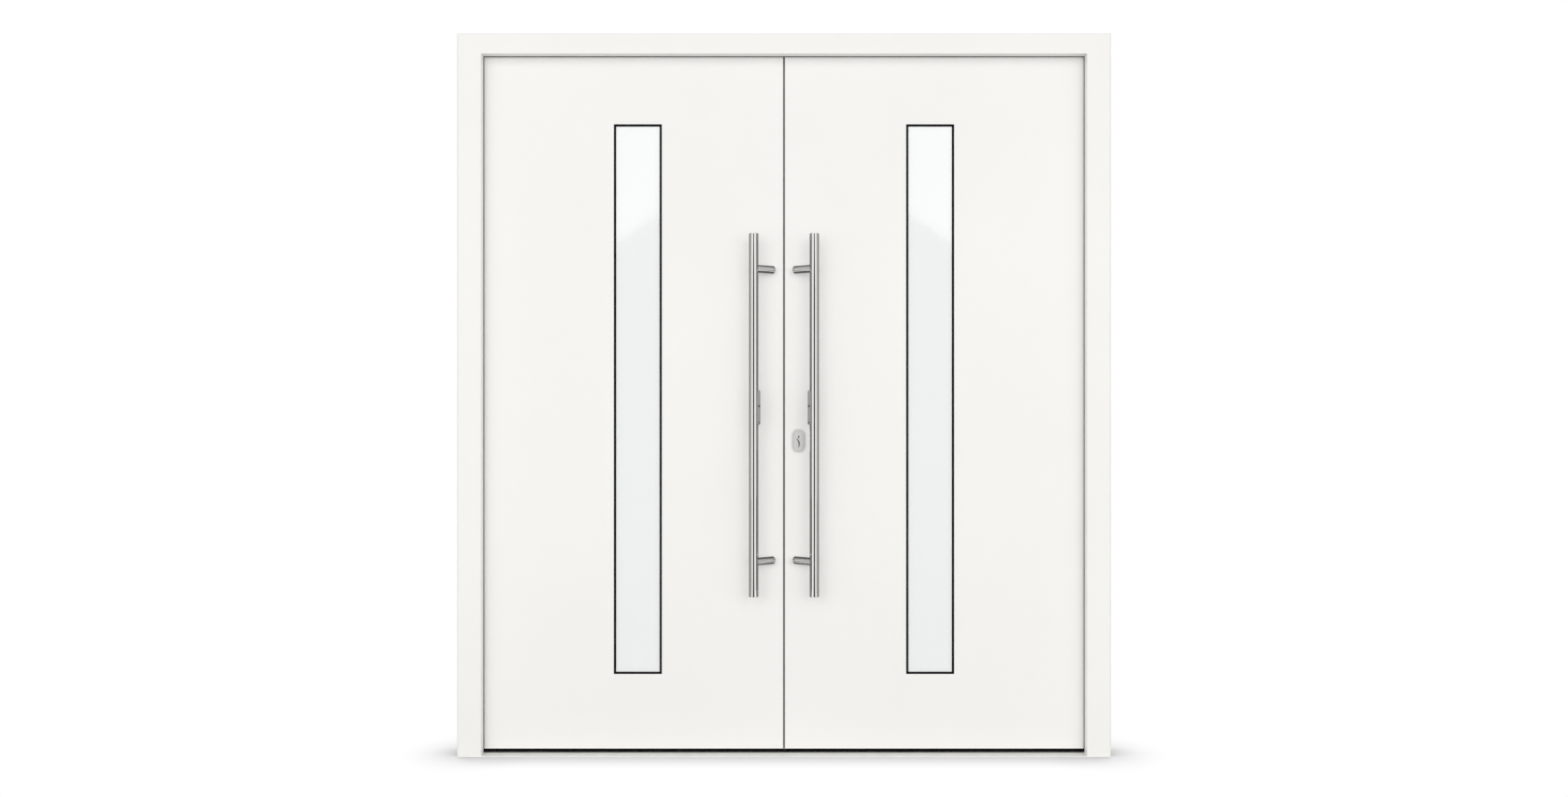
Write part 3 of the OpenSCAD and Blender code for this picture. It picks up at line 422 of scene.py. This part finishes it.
def bristle_tree():
    """Fine bristles that hang from a strip, each leaning a little its own way."""
    sizes = (("Length", "Float"), ("Thickness", "Float"), ("Density", "Float"), ("Lean", "Float"),
             ("Finish", "Material"))
    tree, given = geometry_tree("brush_bristles", sizes)
    spots = add(tree, "GeometryNodeDistributePointsOnFaces", {"distribute_method": "RANDOM", "Seed": 7},
                {"Mesh": (given, "Geometry"), "Density": (given, "Density")})
    radius = add(tree, "ShaderNodeMath", {"operation": "MULTIPLY", 1: 0.5}, {0: (given, "Thickness")})
    hair = add(tree, "GeometryNodeMeshCone", {"fill_type": "NGON", "Vertices": 3},
               {"Radius Top": (radius, 0), "Radius Bottom": (radius, 0), "Depth": (given, "Length")})
    down = add(tree, "ShaderNodeMath", {"operation": "MULTIPLY", 1: -1.0}, {0: (given, "Length")})
    drop = add(tree, "ShaderNodeCombineXYZ", links={"Z": (down, 0)})
    hung = add(tree, "GeometryNodeTransform", links={"Geometry": (hair, "Mesh"), "Translation": (drop, 0)})
    back = add(tree, "ShaderNodeMath", {"operation": "MULTIPLY", 1: -1.0}, {0: (given, "Lean")})
    low = add(tree, "ShaderNodeCombineXYZ", links={"X": (back, 0), "Y": (back, 0)})
    high = add(tree, "ShaderNodeCombineXYZ", links={"X": (given, "Lean"), "Y": (given, "Lean")})
    lean = add(tree, "FunctionNodeRandomValue", {"data_type": "FLOAT_VECTOR", "Seed": 11},
               {"Min": (low, 0), "Max": (high, 0)})
    placed = add(tree, "GeometryNodeInstanceOnPoints",
                 links={"Points": (spots, "Points"), "Instance": (hung, 0), "Rotation": (lean, "Value")})
    real = add(tree, "GeometryNodeRealizeInstances", links={"Geometry": (placed, 0)})
    dressed = add(tree, "GeometryNodeSetMaterial",
                  links={"Geometry": (real, 0), "Material": (given, "Finish")})
    add(tree, "NodeGroupOutput", links={"Geometry": (dressed, 0)})
    return tree


def box_mesh(made, low, high):
    """Adds a closed box between two corners."""
    corners = [made.verts.new((x, y, z))
               for x in (low[0], high[0]) for y in (low[1], high[1]) for z in (low[2], high[2])]
    for face in ((0, 1, 3, 2), (4, 6, 7, 5), (0, 4, 5, 1), (2, 3, 7, 6), (0, 2, 6, 4), (1, 5, 7, 3)):
        made.faces.new([corners[i] for i in face])


def brush(side, tree):
    """Brush under a leaf: a dark carrier with a thin film in its middle and bristles that reach the sill.

    On the left leaf the film and the bristles also reach across the meeting gap."""
    carrier, film, below_carrier, above_sill = 3.5 * MM, 0.15 * MM, 0.05 * MM, 0.1 * MM
    edge, inset = 0.4 * MM, 2.5 * MM
    overhang = 4.0 * MM if side == "left" else 0.0
    node = f"bottom_brush_{side}"
    low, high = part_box(node)
    root, middle, end = high.z - carrier, (low.y + high.y) / 2, high.x + overhang
    made = bmesh.new()
    box_mesh(made, (low.x, low.y, root), high)
    box_mesh(made, (low.x, middle - film, low.z + above_sill), (end, middle + film, root - below_carrier))
    strip = soften(place_made("brush_carrier_" + side, made), edge_mm=0.4)
    dress(strip, "brush_black", LEAF_BODY[side], node)
    x0, x1, y0, y1 = low.x + edge, end - edge, low.y + inset, high.y - inset
    row = bpy.data.meshes.new("bristles_" + side)
    row.from_pydata([(x0, y0, root), (x1, y0, root), (x1, y1, root), (x0, y1, root)], [], [(0, 1, 2, 3)])
    hairs = grow(place("brush_bristles_" + side, row), tree,
                 {"Length": root - low.z - above_sill, "Thickness": 0.45 * MM, "Density": 750000.0,
                  "Lean": 0.05, "Finish": FINISH["brush_black"]})
    dress(hairs, "brush_black", LEAF_BODY[side], node)


def hinge_screws(node):
    """Four screws on each hinge plate, placed from its free edge and from its middle height."""
    layout = ((10 * MM, -0.36), (10 * MM, 0.36), (24 * MM, -0.15), (24 * MM, 0.15))
    axes = [(low.x + high.x) / 2 for low, high in islands("hinge_pins")]
    spots = []
    for low, high in islands(node):
        middle = (low.x + high.x) / 2
        axis = min(axes, key=lambda x: abs(x - middle))
        far, inward = (low.x, 1) if abs(low.x - axis) > abs(high.x - axis) else (high.x, -1)
        for along, rise in layout:
            z = (low.z + high.z) / 2 + rise * (high.z - low.z)
            spots.append(((far + inward * along, low.y + HINGE_PLATE_T, z), (0, 1, 0)))
    return spots


def strip_screws(node, facing):
    """Screws along a lock strip, clear of its ends and of the bolts."""
    steps, from_end, from_bolt = 12, 20 * MM, 45 * MM
    low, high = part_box(node)
    bolts = [(b.z + t.z) / 2 for b, t in islands("dead_bolts")] + [sum(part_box("latch"), Vector()).z / 2]
    x = low.x if facing < 0 else high.x
    spots = []
    for i in range(steps + 1):
        z = low.z + from_end + i * (high.z - low.z - 2 * from_end) / steps
        if min(abs(z - b) for b in bolts) > from_bolt:
            spots.append(((x, (low.y + high.y) / 2, z), (facing, 0, 0)))
    return spots


def screws(name, body, spots, head_mm, tree):
    """Plated cross-head screws on a list of (place, direction) pairs."""
    slot, slot_share = "bright_steel", 0.16
    points = bpy.data.meshes.new(name)
    points.from_pydata([spot for spot, _ in spots], [], [])
    facing = points.attributes.new("facing", "FLOAT_VECTOR", "POINT")
    for item, (_, way) in zip(facing.data, spots):
        item.vector = way
    piece = grow(place(name, points), tree,
                 {"Head": head_mm * MM, "Height": 0.8 * MM, "Slot": head_mm * slot_share * MM,
                  "Finish": FINISH[slot]})
    dress(piece, slot, body)


def sensor_dots(side):
    """A dark lens in the upper recess of a bar's module and a smaller screw head in the lower one."""
    off_bar, thick, sunk = 3.0 * MM, 0.8 * MM, 0.6 * MM
    low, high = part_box(f"bar_module_{side}")
    bar_low, bar_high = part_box(f"pull_bar_{side}")
    x = bar_low.x - off_bar if side == "right" else bar_high.x + off_bar
    lens, screw = ((low.z + high.z) / 2 + 4.5 * MM, 2.8 * MM), (low.z + 8 * MM, 1.7 * MM)
    made = bmesh.new()
    for z, radius in (lens, screw):
        disc = bmesh.ops.create_cone(made, cap_ends=True, segments=32, radius1=radius, radius2=radius,
                                     depth=thick)["verts"]
        bmesh.ops.rotate(made, verts=disc, cent=(0, 0, 0), matrix=Matrix.Rotation(math.pi / 2, 3, "X"))
        bmesh.ops.translate(made, verts=disc, vec=(x, low.y + sunk, z))
    dots = soften(place_made("sensor_dots_" + side, made), edge_mm=0.15)
    dress(dots, "black_polyamide", LEAF_BODY[side])


def meeting_lip():
    """Soft lip of the meeting seal, which closes the view between the leaves over their whole height."""
    back_from_front, thick, clear = 0.5 * MM, 1.5 * MM, 0.25 * MM
    low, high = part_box("meeting_seal")
    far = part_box("edge_seal")[0].x
    front = low.y + back_from_front
    made = bmesh.new()
    box_mesh(made, (low.x, front, low.z), (far - clear, front + thick, high.z))
    dress(place_made("meeting_lip", made), "black_rubber", "passive_leaf")


def turned_rims_painted_dark(piece):
    """Turned steel edges round a satin face: mirror-like steel, in a darker colour that paints shade on the
    rounds and sides.
    """
    flat = 0.97
    piece.data.materials.append(FINISH["turned_edge_shade"])
    for face in piece.data.polygons:
        if -flat < face.normal.y < flat and face.material_index == 0:
            face.material_index = len(piece.data.materials) - 1


def lock_front():
    """Satin escutcheon with turned rims darkened as painted shade, a pale plug, and black painted shade in
    the keyway and finger groove.
    """
    collar, groove, skin = 1.0 * MM, 1.5 * MM, 0.4 * MM
    groove_left, groove_right, groove_down, groove_top = 12 * MM, 6 * MM, 37 * MM, 2 * MM
    key_half, key_tall, key_deep = 3.5 * MM, 5.5 * MM, 14 * MM
    shield = softened("escutcheon", edge_mm=0.9)
    shield.data.materials[0] = FINISH["shield"]
    plug = softened("cylinder_plug", edge_mm=0.3)
    plug.data.materials[0] = FINISH["plug"]
    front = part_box("escutcheon")[0].y
    low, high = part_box("cylinder_plug")
    x, z = (low.x + high.x) / 2, PLUG_Z
    # Painted shade: the faces inside the finger groove and inside the keyway are coloured black.
    paint_recess_shade(shield, (x - groove_left, front + collar + skin, z - groove_down),
            (x + groove_right, front + collar + groove + skin / 2, z - groove_top))
    paint_recess_shade(plug, (x - key_half, low.y + skin, z - key_tall),
            (x + key_half, low.y + key_deep, z + key_tall))
    turned_rims_painted_dark(shield)


# Rounds on the edges, in millimetres

LEAF_EDGES = {
    "outer_skin": 0.8, "inner_skin": 0.8, "glazing_bead": 0.6, "glazing_gasket": 0.5, "outer_pane": 0.3,
    "inner_pane": 0.3, "pull_bar": 0.3, "bar_module": 0.8, "hinge_plates": 0.6,
}
OTHER_EDGES = {
    "hinge_frame_plates": 0.6, "hinge_pins": 0.8, "cylinder_body": 0.3, "latch": 0.5, "dead_bolts": 0.8,
    "faceplate": 0.4, "strike_strip": 0.4, "flush_bolt_top": 0.5, "flush_bolt_bottom": 0.5,
    "sill_outer": 0.4, "sill_inner": 0.3, "frame_gasket": 0.8, "meeting_seal": 0.3, "edge_seal": 0.3,
    "anchor_caps": 0.5, "bolt_keepers": 0.4,
}
POST_EDGE = 0.6
LEVER_EDGES = {"inside_lever": 0.5, "inside_roses": 1.2}
HINGE_HEAD_MM, STRIP_HEAD_MM = 9.0, 7.0

paint_solids()
frame_shell()
meeting_lip()
for side in SIDES:
    for part, edge in LEAF_EDGES.items():
        softened(f"{part}_{side}", edge)
    softened(f"bar_posts_{side}", POST_EDGE).data.materials[0] = FINISH["post_steel"]
    sensor_dots(side)
for node, edge in OTHER_EDGES.items():
    softened(node, edge)
for node, edge in LEVER_EDGES.items():
    softened(node, edge).data.materials[0] = FINISH["lever_steel"]
lock_front()
bristles = bristle_tree()
for side in SIDES:
    brush(side, bristles)
cross_heads = screw_tree()
screws("frame_hinge_screws", "frame", hinge_screws("hinge_frame_plates"), HINGE_HEAD_MM, cross_heads)
for side, strip, facing in (("left", "strike_strip", 1), ("right", "faceplate", -1)):
    body = LEAF_BODY[side]
    screws("hinge_screws_" + side, body, hinge_screws("hinge_plates_" + side), HINGE_HEAD_MM, cross_heads)
    screws("strip_screws_" + side, body, strip_screws(strip, facing), STRIP_HEAD_MM, cross_heads)


# Studio

CAMERA_BACK = 4.042
CAMERA_HEIGHT = 1.0895
PIXEL_MM = 2.709
PHOTO_W = 1759
SENSOR_MM = 36.0
WHITE = (1.0, 1.0, 1.0, 1.0)


def camera():
    """Level camera in front of the door, as far back as the reveal's perspective asks."""
    data = bpy.data.cameras.new("camera")
    data.sensor_width = SENSOR_MM
    data.lens = SENSOR_MM * CAMERA_BACK / (PHOTO_W * PIXEL_MM * MM)
    view = bpy.data.objects.new("camera", data)
    view.location = (0.0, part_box("head")[0].y - CAMERA_BACK, CAMERA_HEIGHT)
    view.rotation_euler = (math.pi / 2, 0.0, 0.0)
    bpy.context.scene.collection.objects.link(view)
    bpy.context.scene.camera = view


def flat_sheet(name, points):
    """One flat face that belongs to the studio."""
    mesh = bpy.data.meshes.new(name)
    mesh.from_pydata([Vector(p) for p in points], [], [list(range(len(points)))])
    sheet = place(name, mesh)
    return sheet


def seen_directly(tree):
    """1 for what the camera, a mirror or glass sees, and 0 for light that falls on the door."""
    path = add(tree, "ShaderNodeLightPath")
    either = add(tree, "ShaderNodeMath", {"operation": "MAXIMUM"},
                 {0: (path, "Is Camera Ray"), 1: (path, "Is Glossy Ray")})
    return add(tree, "ShaderNodeMath", {"operation": "MAXIMUM"},
               {0: (either, 0), 1: (path, "Is Transmission Ray")})


def sky(light):
    """White all round where it is seen, and a soft even light on the door."""
    world = bpy.data.worlds.new("studio")
    world.use_nodes = True
    bpy.context.scene.world = world
    tree = world.node_tree
    tree.nodes.clear()
    level = spread(tree, seen_directly(tree), 0, light, 1.0)
    background = add(tree, "ShaderNodeBackground", {"Color": WHITE}, {"Strength": (level, 0)})
    add(tree, "ShaderNodeOutputWorld", links={"Surface": (background, 0)})


def floor(size, bounce, mirrored, contact):
    """Pale floor: white where it is open, with the door's contact shadow, and a dull bounce from below."""
    finish, tree = new_finish("studio_floor")
    path = add(tree, "ShaderNodeLightPath")
    near = add(tree, "ShaderNodeAmbientOcclusion", {"Distance": 0.18, "samples": 16})
    level = add(tree, "ShaderNodeMapRange",
                {"From Min": 0.45, "From Max": 0.98, "To Min": contact, "To Max": 1.0},
                {"Value": (near, "AO")})
    white = add(tree, "ShaderNodeEmission", {"Color": WHITE}, {"Strength": (level, 0)})
    pale = add(tree, "ShaderNodeEmission", {"Color": WHITE, "Strength": mirrored})
    dull = add(tree, "ShaderNodeBsdfDiffuse", {"Color": (bounce, bounce, bounce, 1.0)})
    lit = add(tree, "ShaderNodeMixShader", links={0: (path, "Is Glossy Ray"), 1: (dull, 0), 2: (pale, 0)})
    seen = add(tree, "ShaderNodeMixShader", links={0: (path, "Is Camera Ray"), 1: (lit, 0), 2: (white, 0)})
    surface(tree, seen)
    sheet = flat_sheet("floor", [(-size, -size, 0), (size, -size, 0), (size, size, 0), (-size, size, 0)])
    sheet.data.materials.append(finish)


def sun(name, strength, spread_deg, rise, turn):
    """Soft light from afar, a few degrees above the horizon; steel and glass don't mirror it."""
    data = bpy.data.lights.new(name, "SUN")
    data.energy = strength
    data.angle = math.radians(spread_deg)
    lamp = bpy.data.objects.new(name, data)
    lamp.rotation_euler = (math.radians(90 - rise), 0.0, math.radians(turn))
    lamp.visible_glossy = False
    bpy.context.scene.collection.objects.link(lamp)


def strip_light(name, power, wide, tall, y, height):
    """Long soft lamp that faces the door; steel and glass mirror the white room instead of it."""
    data = bpy.data.lights.new(name, "AREA")
    data.shape = "RECTANGLE"
    data.size = wide
    data.size_y = tall
    data.energy = power
    lamp = bpy.data.objects.new(name, data)
    lamp.location = (0.0, y, height)
    lamp.rotation_euler = (math.pi / 2, 0.0, 0.0 if y < 0 else math.pi)
    lamp.visible_camera = False
    lamp.visible_glossy = False
    bpy.context.scene.collection.objects.link(lamp)


def card(name, points, level):
    """Grey card that only steel and glass mirror, from its front, and that takes no light off the door."""
    finish, tree = new_finish(name)
    facing = add(tree, "ShaderNodeNewGeometry")
    path = add(tree, "ShaderNodeLightPath")
    away = add(tree, "ShaderNodeMath", {"operation": "MAXIMUM"},
               {0: (facing, "Backfacing"), 1: (path, "Diffuse Depth")})
    gone = add(tree, "ShaderNodeMath", {"operation": "MINIMUM", 1: 1.0}, {0: (away, 0)})
    grey = add(tree, "ShaderNodeEmission", {"Color": WHITE, "Strength": level})
    clear = add(tree, "ShaderNodeBsdfTransparent")
    surface(tree, add(tree, "ShaderNodeMixShader", links={0: (gone, 0), 1: (grey, 0), 2: (clear, 0)}))
    sheet = flat_sheet(name, points)
    sheet.data.materials.append(finish)
    sheet.visible_camera = False
    sheet.visible_diffuse = False
    sheet.visible_shadow = False
    sheet.visible_transmission = False


def upright(name, x, y, z, level):
    """Upright card that faces the back, or the front where x runs from right to left."""
    card(name, [(x[1], y, z[0]), (x[0], y, z[0]), (x[0], y, z[1]), (x[1], y, z[1])], level)


def sideways(name, x, y, z, level):
    """Card beside the door that faces its middle."""
    near, far = (y[0], y[1]) if x < 0 else (y[1], y[0])
    card(name, [(x, near, z[0]), (x, far, z[0]), (x, far, z[1]), (x, near, z[1])], level)


def lying(name, x, near, far, lift, level):
    """Card that lies just over the floor and faces up."""
    card(name, [(x[0], near, lift), (x[1], near, lift), (x[1], far, lift), (x[0], far, lift)], level)


def cards():
    """Dark gabled card behind the camera, one along the floor, and grey ones beside and behind the bars."""
    y, half, eave, peak = -5.0, 1.6, 1.83, 2.95
    gable = [(half, y, 0), (-half, y, 0), (-half, y, eave), (0, y, peak), (half, y, eave)]
    near, near_half, lift = -0.6, 0.6, 0.002
    path = [(-half, y, lift), (half, y, lift), (near_half, near, lift), (-near_half, near, lift)]
    card("card_front", gable, level=0.05)
    card("card_floor", path, level=0.05)
    upright("card_stripe", x=(-0.8, 0.8), y=y + 0.01, z=(0.0, 4.0), level=0.02)
    upright("card_back", x=(half, -half), y=-y, z=(0.0, 2.4), level=0.15)
    just_inside = 0.99
    for x, name in ((-3.0, "left"), (3.0, "right")):
        sideways("card_" + name, x, y=(-1.95, -0.1), z=(0.0, 2.2), level=0.18)
        sideways("card_high_" + name, x, y=(-2.5, 0.3), z=(2.2, 5.0), level=0.45)
        sideways("card_window_" + name, x * just_inside, y=(-1.22, -0.93), z=(0.55, 2.3), level=0.8)
    # The cards behind the bars lie just off the leaf: in the bars' reflections they paint the leaf beside
    # them in shade.
    off_leaf, beyond, inner, outer = 0.5 * MM, 0.2, 0.13, 0.55
    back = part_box("outer_skin_left")[0].y - off_leaf
    low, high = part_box("pull_bar_right")
    for x0, x1, level, name in ((-outer, -inner, 0.25, "left"), (-inner, inner, 0.1, "middle"),
                                (inner, outer, 0.25, "right")):
        upright("card_behind_" + name, (x1, x0), back, (low.z - beyond, high.z + beyond), level)
    for x, name in (((-1.3, -0.25), "left"), ((0.25, 1.3), "right")):
        lying("card_below_" + name, x, near=-0.5, far=-0.12, lift=0.003, level=0.12)


camera()
sky(light=0.5)
strip_light("light_front", power=262, wide=24.0, tall=3.0, y=-5.0, height=1.5)
strip_light("light_back", power=262, wide=24.0, tall=3.0, y=5.0, height=1.5)
sun("light_left", strength=0.41, spread_deg=36, rise=22, turn=-22)
sun("light_right", strength=0.41, spread_deg=36, rise=22, turn=22)
sun("light_behind", strength=0.5, spread_deg=30, rise=14, turn=180)
floor(size=60.0, bounce=0.58, mirrored=1.0, contact=0.47)
cards()
bpy.context.scene.view_settings.view_transform = "Standard"
